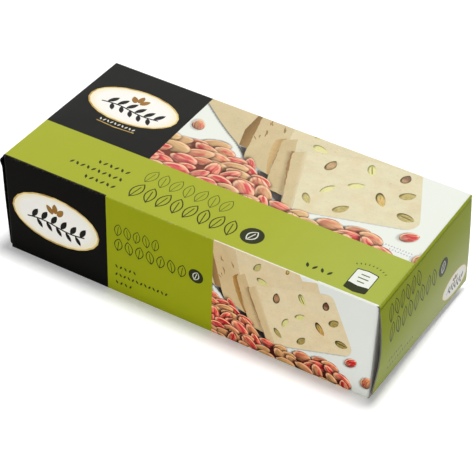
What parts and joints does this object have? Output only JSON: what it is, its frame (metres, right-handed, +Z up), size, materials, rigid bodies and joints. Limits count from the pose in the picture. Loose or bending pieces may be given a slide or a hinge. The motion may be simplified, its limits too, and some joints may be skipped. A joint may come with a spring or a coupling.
{
  "type": "pistachio halva carton",
  "caption": "Shut folding carton for a block of pistachio halva, printed in dark, lime green and white fields, with bowed end flaps.",
  "frame": {"origin": "middle of the base, on the surface the carton lies on", "axes": "+X along the length, +Y from the front panel to the back panel, +Z up through the top panel"},
  "size_m": [0.1533, 0.071, 0.042],
  "materials": {
    "printed_board": "varnished print"
  },
  "bodies": {
    "root": {"carton": "printed_board"}
  },
  "joints": []
}
